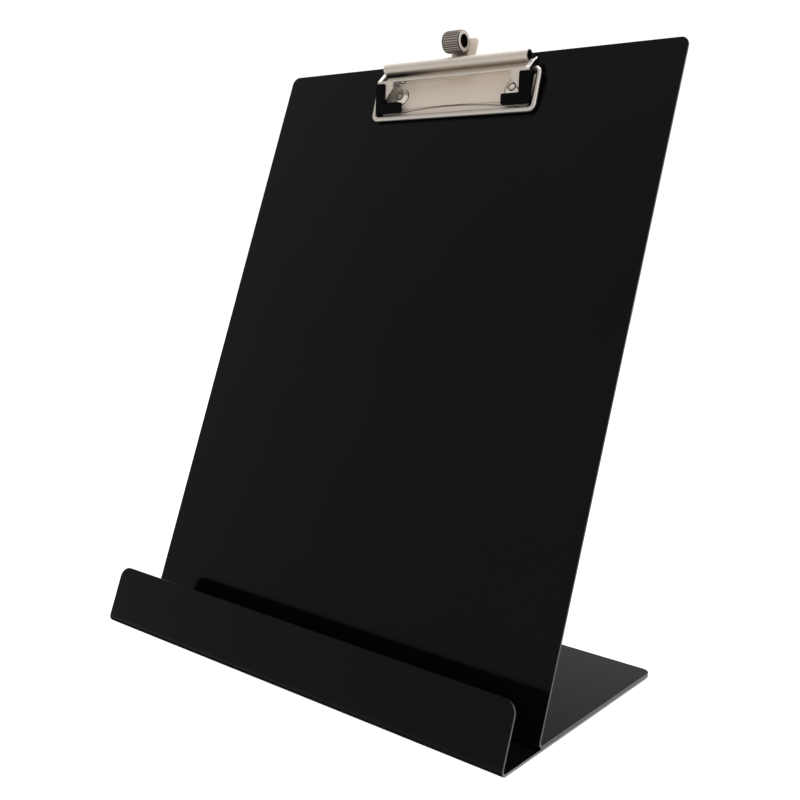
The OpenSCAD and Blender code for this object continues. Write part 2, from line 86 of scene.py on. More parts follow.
def pick(piece, kind, test):
    bpy.ops.mesh.select_mode(type=kind)
    bpy.ops.mesh.select_all(action="DESELECT")
    mesh = bmesh.from_edit_mesh(piece.data)
    found = {"VERT": mesh.verts, "EDGE": mesh.edges, "FACE": mesh.faces}[kind]
    for item in found:
        if test(item):
            item.select_set(True)
    mesh.select_flush_mode()
    bmesh.update_edit_mesh(piece.data)


def middle(item):
    return sum((v.co for v in item.verts), Vector()) / len(item.verts)


def applyModifier(piece, kind, **settings):
    makeActive(piece)
    modifier = piece.modifiers.new(kind.title(), kind)
    for name, value in settings.items():
        setattr(modifier, name, value)
    bpy.ops.object.modifier_apply(modifier=modifier.name)


def placePiece(piece, matrix):
    makeActive(piece)
    piece.matrix_world = matrix
    bpy.ops.object.transform_apply(location=True, rotation=True, scale=True)


def closeShell(piece):
    startEdit(piece)
    bpy.ops.mesh.select_all(action="SELECT")
    bpy.ops.mesh.remove_doubles(threshold=mergeGap)
    bpy.ops.mesh.normals_make_consistent(inside=False)
    stopEdit()


def smooth(piece, degrees):
    makeActive(piece)
    bpy.ops.object.shade_smooth_by_angle(angle=math.radians(degrees))


def smoothFlats(piece, degrees):
    smooth(piece, degrees)
    applyModifier(piece, "WEIGHTED_NORMAL", keep_sharp=True, weight=80)  # flats stay flat beside their edges


def newPiece(name):
    piece = bpy.context.object
    piece.name = name
    piece.data.name = name
    return piece


def copyPiece(source, name):
    piece = bpy.data.objects.new(name, source.data.copy())
    scene.collection.objects.link(piece)
    return piece


def mirrorPiece(source, name):
    piece = copyPiece(source, name)
    placePiece(piece, Matrix.Scale(-1, 4, (1, 0, 0)))
    closeShell(piece)
    return piece


def finishPiece(piece, body, node, slotName, *materials):
    if materials:
        piece.data.materials.clear()
    for material in materials:
        piece.data.materials.append(material)
    if body:
        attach(piece, body)
    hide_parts(node)
    low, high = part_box(node)
    points = [v.co for v in piece.data.vertices]
    gaps = []
    for i in range(3):
        gaps.append(abs(min(p[i] for p in points) - low[i]))
        gaps.append(abs(max(p[i] for p in points) - high[i]))
    worst = round(max(gaps) / mm, 3)
    print("  ", piece.name, "faces", len(piece.data.polygons), "box differs by", worst, "mm")


def fillRamp(ramp, stops):
    while len(ramp.elements) < len(stops):
        ramp.elements.new(0.5)
    for element, (place, colour) in zip(ramp.elements, stops):
        element.position = place
        grey = isinstance(colour, (int, float))
        element.color = (colour, colour, colour, 1) if grey else (*colour, 1)


# materials

class Finish:
    def __init__(self, name):
        self.material = bpy.data.materials.new(name)
        self.material.use_nodes = True
        self.tree = self.material.node_tree
        self.shader = self.tree.nodes["Principled BSDF"]
        self.place = self.tree.nodes.new("ShaderNodeTexCoord")

    def set(self, **values):
        for name, value in values.items():
            self.shader.inputs[name.replace("_", " ")].default_value = value
        return self

    def link(self, source, target):
        self.tree.links.new(source, target)

    def mapping(self, scale, move=(0, 0, 0)):
        node = self.tree.nodes.new("ShaderNodeMapping")
        node.inputs["Scale"].default_value = scale
        node.inputs["Location"].default_value = move
        self.link(self.place.outputs["Object"], node.inputs["Vector"])
        return node.outputs["Vector"]

    def noise(self, scale, detail=4, rough=0.55, vector=None, distort=0):
        node = self.tree.nodes.new("ShaderNodeTexNoise")
        node.inputs["Scale"].default_value = scale
        node.inputs["Detail"].default_value = detail
        node.inputs["Roughness"].default_value = rough
        node.inputs["Distortion"].default_value = distort
        self.link(vector or self.place.outputs["Object"], node.inputs["Vector"])
        return node.outputs["Fac"]

    def spread(self, value, start, end):
        node = self.tree.nodes.new("ShaderNodeMapRange")
        node.inputs["From Min"].default_value = start
        node.inputs["From Max"].default_value = end
        self.link(value, node.inputs["Value"])
        return node.outputs["Result"]

    def share(self, axis, start, end):
        split = self.tree.nodes.new("ShaderNodeSeparateXYZ")
        self.link(self.place.outputs["Object"], split.inputs["Vector"])
        return self.spread(split.outputs[axis], start, end)

    def reach(self, vector, start, end):
        size = self.tree.nodes.new("ShaderNodeVectorMath")
        size.operation = "LENGTH"
        self.link(vector, size.inputs[0])
        return self.spread(size.outputs["Value"], start, end)

    def ramp(self, source, *stops):
        node = self.tree.nodes.new("ShaderNodeValToRGB")
        fillRamp(node.color_ramp, stops)
        self.link(source, node.inputs["Fac"])
        return node.outputs["Color"]

    def math(self, kind, first, second):
        node = self.tree.nodes.new("ShaderNodeMath")
        node.operation = kind
        for socket, value in zip(node.inputs, (first, second)):
            if isinstance(value, (int, float)):
                socket.default_value = value
            else:
                self.link(value, socket)
        return node.outputs["Value"]

    def mix(self, share, first, second):
        node = self.tree.nodes.new("ShaderNodeMix")
        node.data_type = "RGBA"
        self.link(share, node.inputs["Factor"])
        for socket, value in ((node.inputs["A"], first), (node.inputs["B"], second)):
            if isinstance(value, tuple):
                socket.default_value = (*value, 1)
            else:
                self.link(value, socket)
        return node.outputs["Result"]

    def bump(self, height, strength, distance):
        node = self.tree.nodes.new("ShaderNodeBump")
        node.inputs["Strength"].default_value = strength
        node.inputs["Distance"].default_value = distance
        self.link(height, node.inputs["Height"])
        self.link(node.outputs["Normal"], self.shader.inputs["Normal"])

    def colour(self, source):
        self.link(source, self.shader.inputs["Base Color"])

    def roughness(self, source):
        self.link(source, self.shader.inputs["Roughness"])

    # film of smudges on plated metal, with rubbed streaks where asked
    def film(self, polish, rubbed=False):
        smudge = self.noise(210, 6, 0.65, distort=0.6)
        haze = self.math("MULTIPLY", smudge, 0.12)
        if rubbed:
            rub = self.noise(1, 3, 0.6, self.mapping((90, 1500, 1500)))
            haze = self.math("ADD", self.math("MULTIPLY", rub, 0.07), haze)
        self.roughness(self.math("ADD", haze, polish))
        return smudge

    # slight waves left by the press
    def waves(self):
        self.bump(self.noise(70, 2, 0.4), 0.1, 0.12 * mm)


def makeBlackCoat(name, gloss, dark, light):
    coat = Finish(name).set(Metallic=0.0, Specular_IOR_Level=gloss)
    cloud = coat.noise(9, 3)
    grain = coat.noise(2600, 2)
    coat.colour(coat.ramp(cloud, (0.3, dark), (0.7, light)))
    speck = coat.math("MULTIPLY", grain, 0.04)
    smudge = coat.math("MULTIPLY", coat.noise(28, 5, 0.6), 0.04)
    coat.roughness(coat.math("ADD", coat.math("ADD", speck, smudge), 0.07))
    coat.bump(grain, 0.06, 0.01 * mm)
    return coat.material


def makeBareEdge(name, dark, light):
    edge = Finish(name).set(Metallic=1.0)
    shearLine = edge.noise(1, 3, 0.6, edge.mapping((60, 2600, 900)))
    patch = edge.noise(140, 4)
    edge.colour(edge.mix(patch, dark, light))
    edge.roughness(edge.ramp(shearLine, (0.3, 0.26), (0.7, 0.46)))
    edge.bump(shearLine, 0.2, 0.03 * mm)
    return edge.material


def makeNickel(name, dull, clear, polish, metal=1.0):
    plate = Finish(name).set(Metallic=metal, Specular_IOR_Level=0.2)
    smudge = plate.film(polish, rubbed=True)
    plate.colour(plate.mix(smudge, dull, clear))
    plate.waves()
    return plate.material


# the lever's band under the barrel, a separately toned copy of the nickel; its left end is painted shade
def makeBand():
    band = Finish("bandNickel").set(Metallic=1.0)
    smudge = band.film(0.3)
    cloud = band.mix(smudge, (0.5, 0.437, 0.373), (0.59, 0.522, 0.452))
    end = band.ramp(band.share("X", -34 * mm, -8 * mm), (0.14, 0.0), (1.0, 1.0))  # painted shade: black towards its left end
    band.colour(band.mix(end, (0.008, 0.007, 0.006), cloud))
    band.waves()
    return band.material


def makeWeb():
    web = Finish("webNickel").set(Metallic=0.35, Specular_IOR_Level=0.2)
    web.film(0.36, rubbed=True)
    height = web.share("Z", 267 * mm, 287 * mm)
    low = (0.46, 0.4, 0.338)
    level = (0.55, 0.48, 0.405)
    high = (0.8, 0.7, 0.592)
    # painted light: palest just below the lever, against its shade, and darker towards the bottom
    web.colour(web.ramp(height, (0.0, low), (0.42, level), (0.78, high), (1.0, level)))
    web.waves()
    return web.material


def makeSpringSteel():
    steel = Finish("springSteel").set(Metallic=1.0)
    drawn = steel.noise(1, 3, 0.6, steel.mapping((1800, 300, 300)))
    steel.colour(steel.mix(steel.noise(400, 4), (0.3, 0.29, 0.28), (0.52, 0.5, 0.47)))
    steel.roughness(steel.ramp(drawn, (0.3, 0.2), (0.7, 0.4)))
    steel.bump(drawn, 0.15, 0.02 * mm)
    return steel.material


def makeWasherSteel():
    steel = Finish("washerSteel").set(Metallic=1.0)
    cloud = steel.noise(320, 5)
    steel.colour(steel.mix(cloud, (0.4, 0.39, 0.38), (0.62, 0.61, 0.59)))
    steel.roughness(steel.ramp(cloud, (0.3, 0.24), (0.7, 0.42)))
    steel.bump(steel.noise(2200, 2), 0.12, 0.02 * mm)
    return steel.material


def makeGuardPlastic():
    plastic = Finish("guardPlastic").set(Metallic=0.0, Specular_IOR_Level=0.025)
    grain = plastic.noise(3800, 3)
    cloud = plastic.noise(160, 3)
    plastic.colour(plastic.ramp(cloud, (0.3, (0.001, 0.0011, 0.0013)), (0.7, (0.0018, 0.002, 0.0023))))
    plastic.roughness(plastic.ramp(grain, (0.3, 0.36), (0.7, 0.52)))
    plastic.bump(grain, 0.25, 0.03 * mm)
    return plastic.material


def makeRubber():
    rubber = Finish("footRubber").set(Metallic=0.0, Specular_IOR_Level=0.3)
    grain = rubber.noise(2400, 4)
    cloud = rubber.noise(120, 4)
    rubber.colour(rubber.ramp(cloud, (0.3, (0.012, 0.012, 0.012)), (0.7, (0.026, 0.026, 0.025))))
    rubber.roughness(rubber.ramp(grain, (0.3, 0.62), (0.7, 0.85)))
    rubber.bump(grain, 0.4, 0.05 * mm)
    return rubber.material


def makeTape():
    tape = Finish("bondTape").set(Metallic=0.0)
    fibre = tape.noise(1, 4, 0.6, tape.mapping((500, 2200, 2200)))
    tape.colour(tape.ramp(fibre, (0.3, (0.3, 0.295, 0.27)), (0.7, (0.46, 0.45, 0.42))))
    tape.roughness(tape.ramp(fibre, (0.3, 0.5), (0.7, 0.7)))
    tape.bump(fibre, 0.2, 0.03 * mm)
    return tape.material


def makeFloorPaint():
    paint = Finish("floorPaint").set(Metallic=0.0, Specular_IOR_Level=0.1, Emission_Strength=1.0)
    paint.set(Emission_Color=(1, 1, 1, 1))
    cloud = paint.noise(3, 3)
    paint.colour(paint.ramp(cloud, (0.3, (0.25, 0.25, 0.25)), (0.7, (0.27, 0.27, 0.27))))
    paint.roughness(paint.ramp(cloud, (0.3, 0.8), (0.7, 0.9)))
    return paint.material


blackCoat = makeBlackCoat("blackCoat", 0.068, (0.0011, 0.001, 0.001), (0.0017, 0.0016, 0.0015))
flatLitCoat = makeBlackCoat("flatLitCoat", 0.021, (0.0019, 0.0018, 0.0014), (0.0026, 0.0024, 0.0019))  # lighter, less glossy copy for faces lying flat: painted light
downShadeCoat = makeBlackCoat("downShadeCoat", 0.0, (0.0052, 0.0048, 0.0048), (0.0066, 0.0062, 0.006))  # copy without reflection for faces turned down: painted shade
bareEdge = makeBareEdge("bareEdge", (0.034, 0.033, 0.032), (0.06, 0.059, 0.057))
floorLitEdge = makeBareEdge("floorLitEdge", (0.1, 0.098, 0.095), (0.17, 0.167, 0.162))  # lighter copy for cut edges near the floor: painted light
nickel = makeNickel("nickelPlate", (0.4, 0.357, 0.306), (0.45, 0.407, 0.357), 0.3, 0.8)
satinNickel = makeNickel("satinNickel", (0.55, 0.48, 0.405), (0.62, 0.545, 0.47), 0.36, 0.35)
# lighter copy of the nickel for the top strips of the lever's legs: painted highlight
highlightNickel = makeNickel("highlightNickel", (0.84, 0.8, 0.75), (0.9, 0.87, 0.82), 0.26, 0.7)
rivetNickel = makeNickel("rivetNickel", (0.58, 0.52, 0.45), (0.65, 0.59, 0.52), 0.14, 0.65)
wireNickel = makeNickel("wireNickel", (0.36, 0.33, 0.3), (0.43, 0.4, 0.365), 0.3)
shadeNickel = makeNickel("shadeNickel", (0.16, 0.138, 0.117), (0.22, 0.192, 0.167), 0.3)
# near-black copy of the nickel for bores, barrel ends, the lever's leg sides and corners and the rivets'
# rings: painted shade
shadowNickel = makeNickel("shadowNickel", (0.006, 0.0055, 0.005), (0.016, 0.015, 0.014), 0.4)
bandNickel = makeBand()
webNickel = makeWeb()
springSteel = makeSpringSteel()
washerSteel = makeWasherSteel()
guardPlastic = makeGuardPlastic()
footRubber = makeRubber()
bondTape = makeTape()
print("finishes made")


# tray and board: each one sheet, cut flat, corners rounded, front edge bent up

joints = {joint["name"]: joint for joint in frame["record"]["behaviour"]["joints"]}
up = Vector(joints["hanger_slide"]["axis"])  # the tab slides up along the board
out = Vector((0, -up.z, up.y))
sheet = {
    "thickness": 1.2 * mm, "innerBend": 1.6 * mm, "lean": math.atan2(up.y, up.z), "bendSteps": 14,
    "cornerSteps": 12, "edgeBreak": 0.14 * mm, "edgeAngle": math.radians(40),
    "flatFace": 0.6, "underFace": -0.1, "nearFloor": 3 * mm,
}
sheetFinishes = (blackCoat, bareEdge, flatLitCoat, downShadeCoat, floorLitEdge)
traySizes = {"name": "traySheet", "node": "base_tray", "rearCorner": 4.5 * mm, "topCorner": 5.5 * mm}
boardSizes = {"name": "boardSheet", "node": "back_board", "rearCorner": 4.5 * mm, "topCorner": 4 * mm}


def roundCorners(radius):
    bpy.ops.mesh.bevel(offset=radius, segments=sheet["cornerSteps"], profile=0.5, affect="VERTICES")


def bendSheet(sizes):
    low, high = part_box(sizes["node"])
    outer = sheet["innerBend"] + sheet["thickness"]
    bendY = low.y + outer
    bendZ = low.z + outer
    wall = (high.z - bendZ - outer * out.z) / up.z
    clearSelection()
    bpy.ops.mesh.primitive_plane_add(size=1, location=(0, (bendY + high.y) / 2, low.z))
    piece = newPiece(sizes["name"])
    for material in sheetFinishes:
        piece.data.materials.append(material)
    piece.scale = (high.x - low.x, high.y - bendY, 1)
    bpy.ops.object.transform_apply(location=True, rotation=True, scale=True)

    startEdit(piece)
    pick(piece, "VERT", lambda v: v.co.y > high.y - onLine)
    roundCorners(sizes["rearCorner"])
    pick(piece, "EDGE", lambda e: middle(e).y < bendY + onLine)
    bpy.ops.mesh.spin(
        steps=sheet["bendSteps"], angle=math.pi / 2 + sheet["lean"], center=(0, bendY, bendZ), axis=(1, 0, 0)
    )
    bpy.ops.mesh.extrude_edges_move(TRANSFORM_OT_translate={"value": up * wall})
    pick(piece, "VERT", lambda v: v.co.z > high.z - onLine)
    roundCorners(sizes["topCorner"])
    stopEdit()
    closeShell(piece)
    floorFace = max(piece.data.polygons, key=lambda f: f.area * abs(f.normal.z))
    if floorFace.normal.z > 0:
        startEdit(piece)
        bpy.ops.mesh.select_all(action="SELECT")
        bpy.ops.mesh.flip_normals()
        stopEdit()
    applyModifier(
        piece, "SOLIDIFY", thickness=sheet["thickness"], offset=-1, use_even_offset=True,
        material_offset_rim=1,
    )
    return piece, Vector((0, bendY, bendZ)) + out * outer + up * wall


def breakEdges(piece):
    applyModifier(
        piece, "BEVEL", width=sheet["edgeBreak"], segments=2, limit_method="ANGLE",
        angle_limit=sheet["edgeAngle"],
    )
    smoothFlats(piece, smoothing["plate"])


traySheet = bendSheet(traySizes)[0]
boardSheet, boardTop = bendSheet(boardSizes)
# across the board, up it and out of its face, from the middle of its top edge
boardFrame = Matrix.Translation(boardTop) @ Matrix((
    (1, 0, 0, 0),
    (0, up.y, out.y, 0),
    (0, up.z, out.z, 0),
    (0, 0, 0, 1),
))

clipRivet = {
    "side": 33.0, "drop": 18.4, "shank": 2.0, "head": 4.7, "rise": 1.5, "seat": 1.0, "rim": 0.03, "roll": 0.1,
    "dimple": 1.8, "dimpleDepth": 0.5, "dimpleLip": 0.06, "back": 2.0, "tailLength": 1.0,
    "tail": ((3.3, 1.0), (3.22, 0.9), (2.4, 0.08), (2.25, 0), (1.35, 0), (1.2, 0.08), (0.8, 0.32), (0, 0.4)),
    "rimSeam": 0.4, "dimpleSeam": 0.3, "clearance": 0.1, "drillDepth": 12.0,
}


def rivetPlace(side):
    return boardFrame @ Matrix.Translation((side * clipRivet["side"] * mm, -clipRivet["drop"] * mm, 0))


# the two rivet holes through the board
for side in (-1, 1):
    clearSelection()
    holeRadius = (clipRivet["shank"] + clipRivet["clearance"]) * mm
    bpy.ops.mesh.primitive_cylinder_add(vertices=48, radius=holeRadius, depth=clipRivet["drillDepth"] * mm)
    drill = newPiece("rivetDrill")
    placePiece(drill, rivetPlace(side))
    applyModifier(boardSheet, "BOOLEAN", operation="DIFFERENCE", solver="EXACT", object=drill)
    bpy.data.objects.remove(drill)


def sheetFinish(face):
    finish = sheetFinishes[face.material_index]
    # faces lying flat take a lighter, less glossy copy of the coat: painted light
    if finish == blackCoat and face.normal.z > sheet["flatFace"]:
        return flatLitCoat
    # faces turned down take a copy of the coat without reflection: painted shade
    if finish == blackCoat and face.normal.z < sheet["underFace"]:
        return downShadeCoat
    # cut edges near the floor take a lighter copy of the bare edge: painted light
    if finish == bareEdge and face.center.z < sheet["nearFloor"]:
        return floorLitEdge
    return finish


for piece, sizes in ((traySheet, traySizes), (boardSheet, boardSizes)):
    breakEdges(piece)
    for face in piece.data.polygons:
        face.material_index = sheetFinishes.index(sheetFinish(face))
    finishPiece(piece, "stand", sizes["node"], "black_sheet")
print("tray and board bent")


# pieces pressed from plate or moulded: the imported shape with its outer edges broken

mounts = {mount["name"]: mount for mount in frame["record"]["mounts"]}
loopCentre = Vector(mounts["pen_loop_bore"]["pos_m"])
toBoard = boardFrame.inverted()
loopAxis = toBoard @ loopCentre / mm
loop = {"bore": 3.25, "root": 4.95, "radius": 5.4, "endFace": 0.4, "stemFoot": -2.0}
barrel = {"drop": 5.716, "rise": 7.089, "bore": 1.9, "radius": 2.8}
leverBand = {
    "low": 11.0, "high": 6.9, "end": 12.9, "inner": 38.5, "outer": 41.95, "lift": 4.5, "stripLift": 4.0,
}
archLine = {"middle": -1.0, "drop": 24.75, "radius": 236.0, "wire": 0.4, "height": 0.62, "reach": 43}
skin = 0.05  # mm that the middle of a face may lie off its round
fineSkin = 0.02
faceOut = 0.3  # a face turned out of the board at least this much is a front face
sideways = {"end": 0.9, "wall": 0.8, "round": 0.7, "bore": 0.5}  # how far a face turns to the side


def makeRing():
    ring = Finish("ringNickel").set(Metallic=1.0)
    inLine = ring.mapping((0, 1, 1), (0, -loopCentre.y, -loopCentre.z))
    reach = ring.reach(inLine, loop["root"] * mm, loop["radius"] * mm)
    smudge = ring.film(0.24)
    crest = ring.mix(smudge, (0.23, 0.2, 0.172), (0.34, 0.303, 0.265))
    rise = ring.ramp(reach, (0.15, 0.0), (0.85, 1.0))
    ring.colour(ring.mix(rise, (0.02, 0.017, 0.014), crest))  # painted shade: dark in its grooves
    ring.bump(ring.noise(900, 3), 0.08, 0.03 * mm)
    return ring.material


def makeBarrel():
    roll = Finish("barrelNickel").set(Metallic=0.8, Specular_IOR_Level=0.2)
    centre = boardFrame @ (Vector((0, -barrel["drop"], barrel["rise"])) * mm)
    height = roll.share("Z", centre.z - barrel["radius"] * mm, centre.z + barrel["radius"] * mm)
    low = (0.36, 0.32, 0.275)
    level = (0.41, 0.367, 0.317)
    high = (0.62, 0.565, 0.5)
    roll.colour(roll.ramp(height, (0.1, low), (0.5, level), (0.9, high)))  # painted highlight: palest along its top, darker underneath
    roll.film(0.3)
    roll.waves()
    return roll.material


ringNickel = makeRing()
barrelNickel = makeBarrel()


# which faces take a second finish, painted shade and painted highlights: place in mm and normal, both in the
# board's frame

def fromBarrel(place):
    return math.hypot(place.y + barrel["drop"], place.z - barrel["rise"])


def fromLoop(place):
    return math.hypot(place.y - loopAxis.y, place.z - loopAxis.z)


# the barrel's bore and end faces take a near-black nickel: painted shade
def inBarrel(place, normal):
    end = fromBarrel(place) < barrel["radius"] and abs(normal.x) > sideways["end"]
    return end or fromBarrel(place) < barrel["bore"] + skin


def onBarrel(place, normal):
    return fromBarrel(place) < barrel["radius"] + fineSkin and abs(normal.x) < sideways["round"]


def besideBarrel(place, lowest):
    between = -lowest < place.y < -leverBand["high"]
    return between and place.z > leverBand["lift"] and fromBarrel(place) > barrel["radius"]


def onLeverBand(place, normal):
    return besideBarrel(place, leverBand["low"]) and abs(place.x) < leverBand["inner"]


# the lever's corners beside its legs take a near-black nickel: painted shade
def onLeverCorner(place, normal):
    between = leverBand["inner"] < -place.x < leverBand["outer"]
    return between and normal.z > faceOut and besideBarrel(place, leverBand["end"])


# the top strips of the lever's legs take a lighter nickel: painted highlight
def onLeverStrip(place, normal):
    top = normal.z > faceOut and place.y > -leverBand["end"]
    return abs(place.x) > leverBand["outer"] and place.z > leverBand["stripLift"] and top


# the side walls of the lever's legs take a near-black nickel: painted shade
def onLeverSide(place, normal):
    return abs(normal.x) > sideways["wall"] and abs(place.x) > leverBand["outer"]


# the pen loop's bore takes a near-black nickel: painted shade
def inLoopBore(place, normal):
    return fromLoop(place) < loop["bore"] + skin and abs(normal.x) < sideways["bore"]


def onLoopRibs(place, normal):
    between = loop["bore"] + loop["endFace"] < fromLoop(place) < loop["radius"] + skin
    return between and abs(normal.x) < sideways["round"]


def onLoopStem(place, normal):
    outside = fromLoop(place) > loop["radius"] + skin
    return outside and place.y > loop["stemFoot"] and normal.z > faceOut


def onPressLine(place, normal):
    reach = math.hypot(place.x - archLine["middle"], place.y + archLine["drop"] + archLine["radius"])
    offLine = math.hypot(reach - archLine["radius"], place.z - archLine["height"])
    return offLine < archLine["wire"] + fineSkin and abs(place.x) < archLine["reach"]


# the shallow arched line pressed into the web above the bow
def pressLine(piece):
    clearSelection()
    bpy.ops.mesh.primitive_torus_add(
        major_radius=archLine["radius"] * mm, minor_radius=archLine["wire"] * mm, major_segments=720,
        minor_segments=10,
    )
    cutter = newPiece("lineCutter")
    centre = Vector((archLine["middle"], -(archLine["drop"] + archLine["radius"]), archLine["height"])) * mm
    placePiece(cutter, boardFrame @ Matrix.Translation(centre))
    applyModifier(piece, "BOOLEAN", operation="DIFFERENCE", solver="EXACT", object=cutter)
    bpy.data.objects.remove(cutter)


# lines across the lever where its finish changes
def splitPlate(piece):
    cuts = [(boardFrame @ Vector((0, -leverBand["low"] * mm, 0)), up)]
    for line in (leverBand["inner"], leverBand["outer"]):
        for side in (-1, 1):
            cuts.append((Vector((side * line * mm, 0, 0)), Vector((1, 0, 0))))
    startEdit(piece)
    for point, normal in cuts:
        bpy.ops.mesh.select_all(action="SELECT")
        bpy.ops.mesh.bisect(plane_co=point, plane_no=normal, use_fill=False)
    stopEdit()


pressedPieces = [
    {"name": "clipPlate", "node": "clip_base", "body": "stand", "slot": "nickel", "finish": webNickel,
     "edge": 0.1, "steps": 3, "work": pressLine, "also": ((shadeNickel, onPressLine),)},
    {"name": "leverPlate", "node": "clip_lever", "body": "lever", "slot": "nickel", "finish": nickel,
     "edge": 0.1, "steps": 3, "work": splitPlate, "also": (
         (bandNickel, onLeverBand), (barrelNickel, onBarrel), (shadowNickel, inBarrel),
         (shadowNickel, onLeverCorner), (shadowNickel, onLeverSide), (highlightNickel, onLeverStrip),
     )},
    {"name": "hangTab", "node": "hanger_tab", "body": "hanger", "slot": "nickel", "finish": satinNickel,
     "edge": 0.22, "steps": 3},
    {"name": "penLoop", "node": "pen_loop", "body": "stand", "slot": "nickel", "finish": nickel,
     "edge": 0.1, "steps": 2, "also": (
         (shadeNickel, onLoopStem), (ringNickel, onLoopRibs), (shadowNickel, inLoopBore),
     )},
    {"name": "guardLeft", "node": "corner_guard_left", "body": "lever", "slot": "guard_plastic",
     "finish": guardPlastic, "edge": 0.2, "steps": 3},
    {"name": "guardRight", "node": "corner_guard_right", "body": "lever", "slot": "guard_plastic",
     "finish": guardPlastic, "edge": 0.2, "steps": 3},
    {"name": "washerLeft", "node": "rivet_washer_left", "body": "stand", "slot": "washer_steel",
     "finish": washerSteel, "edge": 0.15, "steps": 3},
    {"name": "washerRight", "node": "rivet_washer_right", "body": "stand", "slot": "washer_steel",
     "finish": washerSteel, "edge": 0.15, "steps": 3},
]
press = {
    "join": 0.03 * mm, "flat": math.radians(0.6), "sliver": 0.002 * mm, "outer": math.radians(38),
    "inner": math.radians(25),
}


# an edge is broken where it stands out and meets no inner corner
def turnsIn(vert):
    return any(not edge.is_convex and edge.calc_face_angle(0) > press["inner"] for edge in vert.link_edges)


def outerEdge(edge):
    if not edge.is_convex or edge.calc_face_angle(0) < press["outer"]:
        return False
    return not any(turnsIn(vert) for vert in edge.verts)


def pressPiece(sizes):
    piece = copyPiece(frame["nodes"][sizes["node"]], sizes["name"])
    startEdit(piece)
    bpy.ops.mesh.select_all(action="SELECT")
    bpy.ops.mesh.remove_doubles(threshold=press["join"])
    bpy.ops.mesh.dissolve_limited(angle_limit=press["flat"])
    pick(piece, "EDGE", outerEdge)
    bpy.ops.mesh.bevel(offset=sizes["edge"] * mm, segments=sizes["steps"], affect="EDGES")
    bpy.ops.mesh.select_all(action="SELECT")
    bpy.ops.mesh.dissolve_degenerate(threshold=press["sliver"])
    bpy.ops.mesh.delete_loose()
    stopEdit()
    if "work" in sizes:
        sizes["work"](piece)
    smoothFlats(piece, smoothing["plate"])
    also = sizes.get("also", ())
    finishes = [sizes["finish"]] + [material for material, test in also]
    finishPiece(piece, sizes["body"], sizes["node"], sizes["slot"], *finishes)
    for face in piece.data.polygons:
        place = toBoard @ face.center / mm
        normal = toBoard.to_3x3() @ face.normal
        for slot, (material, test) in enumerate(also):
            if test(place, normal):
                face.material_index = slot + 1


for sizes in pressedPieces:
    pressPiece(sizes)
print("plates, tab, loop, guards and washers pressed")


# rivets turned from a profile of (radius, height) in mm, height out of the board

turnSteps = 64


def turnProfile(name, profile):
    clearSelection()
    bpy.ops.mesh.primitive_plane_add(size=1 * mm)
    piece = newPiece(name)
    bpy.ops.object.mode_set(mode="EDIT")
    bpy.ops.mesh.select_mode(type="VERT")
    bpy.ops.mesh.select_all(action="SELECT")
    bpy.ops.mesh.merge(type="CENTER")
    last = (0, 0)
    for place, (radius, height) in enumerate(profile):
        step = ((radius - last[0]) * mm, 0, (height - last[1]) * mm)
        if place:
            bpy.ops.mesh.extrude_vertices_move(TRANSFORM_OT_translate={"value": step})
        else:
            bpy.ops.transform.translate(value=step)
        last = (radius, height)
    bpy.ops.mesh.select_all(action="SELECT")
    bpy.ops.mesh.spin(steps=turnSteps, angle=2 * math.pi, center=(0, 0, 0), axis=(0, 0, 1))
    stopEdit()
    closeShell(piece)
    return piece


def domeHeight(radius, width, rise):
    ball = (width * width + rise * rise) / (2 * rise)
    return rise - ball + math.sqrt(ball * ball - radius * radius)


def rivetProfile(sizes):
    seat = sizes["seat"]
    head = sizes["head"]
    dimple = sizes["dimple"]
    crest = seat + domeHeight(dimple, head, sizes["rise"])
    sunk = seat + sizes["rise"] - sizes["dimpleDepth"]
    profile = []
    for i in range(7):
        share = i / 7
        profile.append((dimple * share, sunk + (crest - sunk) * share ** 2))
    domeStart = dimple + sizes["dimpleLip"]
    domeEnd = head - sizes["roll"]
    for i in range(13):
        radius = domeStart + (domeEnd - domeStart) * i / 12
        profile.append((radius, seat + domeHeight(radius, head, sizes["rise"])))
    profile += [(head, seat + sizes["rim"]), (head, seat), (sizes["shank"], seat)]
    profile.append((sizes["shank"], -sizes["back"]))
    end = -sizes["back"] - sizes["tailLength"]
    profile += [(radius, end + height) for radius, height in sizes["tail"]]
    return profile


rivetRight = turnProfile("rivetRight", rivetProfile(clipRivet))
placePiece(rivetRight, rivetPlace(1))
smooth(rivetRight, smoothing["turned"])
rivetLeft = mirrorPiece(rivetRight, "rivetLeft")
smooth(rivetLeft, smoothing["turned"])
# rivet heads take the near-black nickel on their rims and round their dimples: painted shade rings
for piece, node, side in ((rivetRight, "clip_rivet_right", 1), (rivetLeft, "clip_rivet_left", -1)):
    finishPiece(piece, "stand", node, "nickel", rivetNickel, shadowNickel)
    for face in piece.data.polygons:
        place = toBoard @ face.center / mm
        reach = math.hypot(place.x - side * clipRivet["side"], place.y + clipRivet["drop"])
        rim = reach > clipRivet["head"] - clipRivet["rimSeam"]
        if place.z > 0 and (rim or abs(reach - clipRivet["dimple"]) < clipRivet["dimpleSeam"]):
            face.material_index = 1

